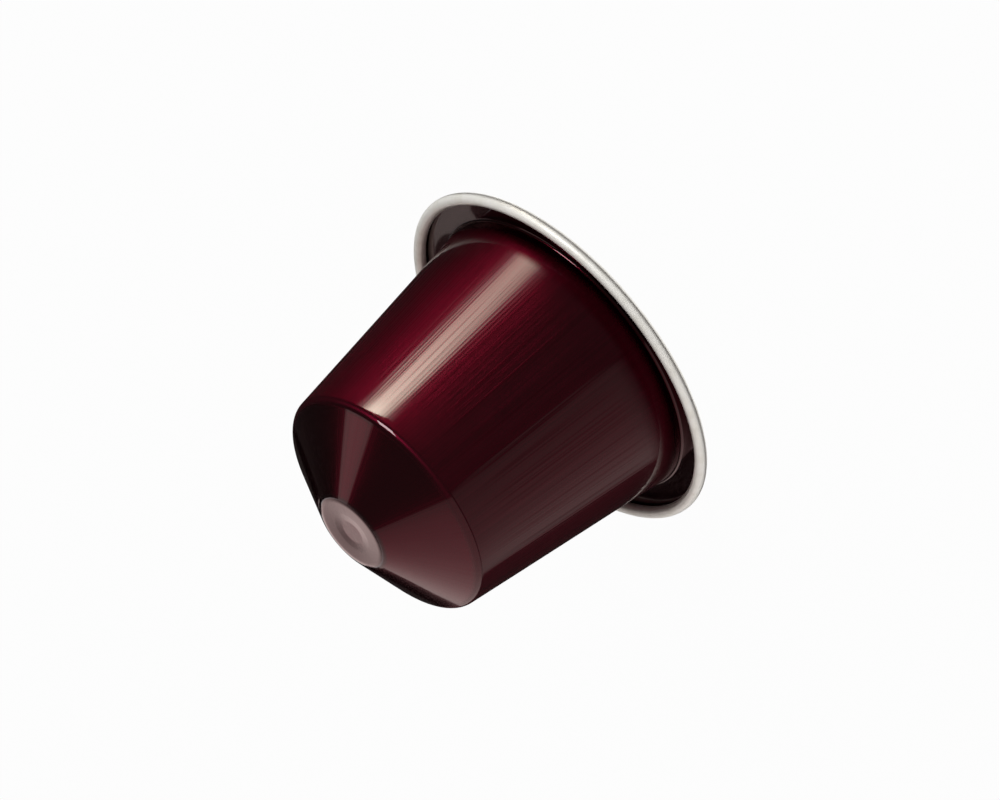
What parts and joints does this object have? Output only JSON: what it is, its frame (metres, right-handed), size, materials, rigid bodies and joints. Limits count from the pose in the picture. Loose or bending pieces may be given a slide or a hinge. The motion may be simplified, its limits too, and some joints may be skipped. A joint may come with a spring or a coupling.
{
  "type": "coffee pod",
  "caption": "Sealed single-serve coffee pod: a tapered aluminium cup with a conical shoulder, dimpled nose and curled rim, closed by a flat foil lid.",
  "frame": {"origin": "centre of the lid's underside, on the surface that the pod stands on", "axes": "+Z along the axis of revolution, from the lid to the nose; X and Y are any two directions across it"},
  "size_m": [0.037, 0.037, 0.0285],
  "materials": {
    "lacquered_aluminium": "glossy transparent burgundy lacquer over drawn aluminium",
    "bare_aluminium": "bare satin foil, also on the curled rim"
  },
  "bodies": {
    "root": {"cup": "lacquered_aluminium", "foil_lid": "bare_aluminium"}
  },
  "joints": []
}
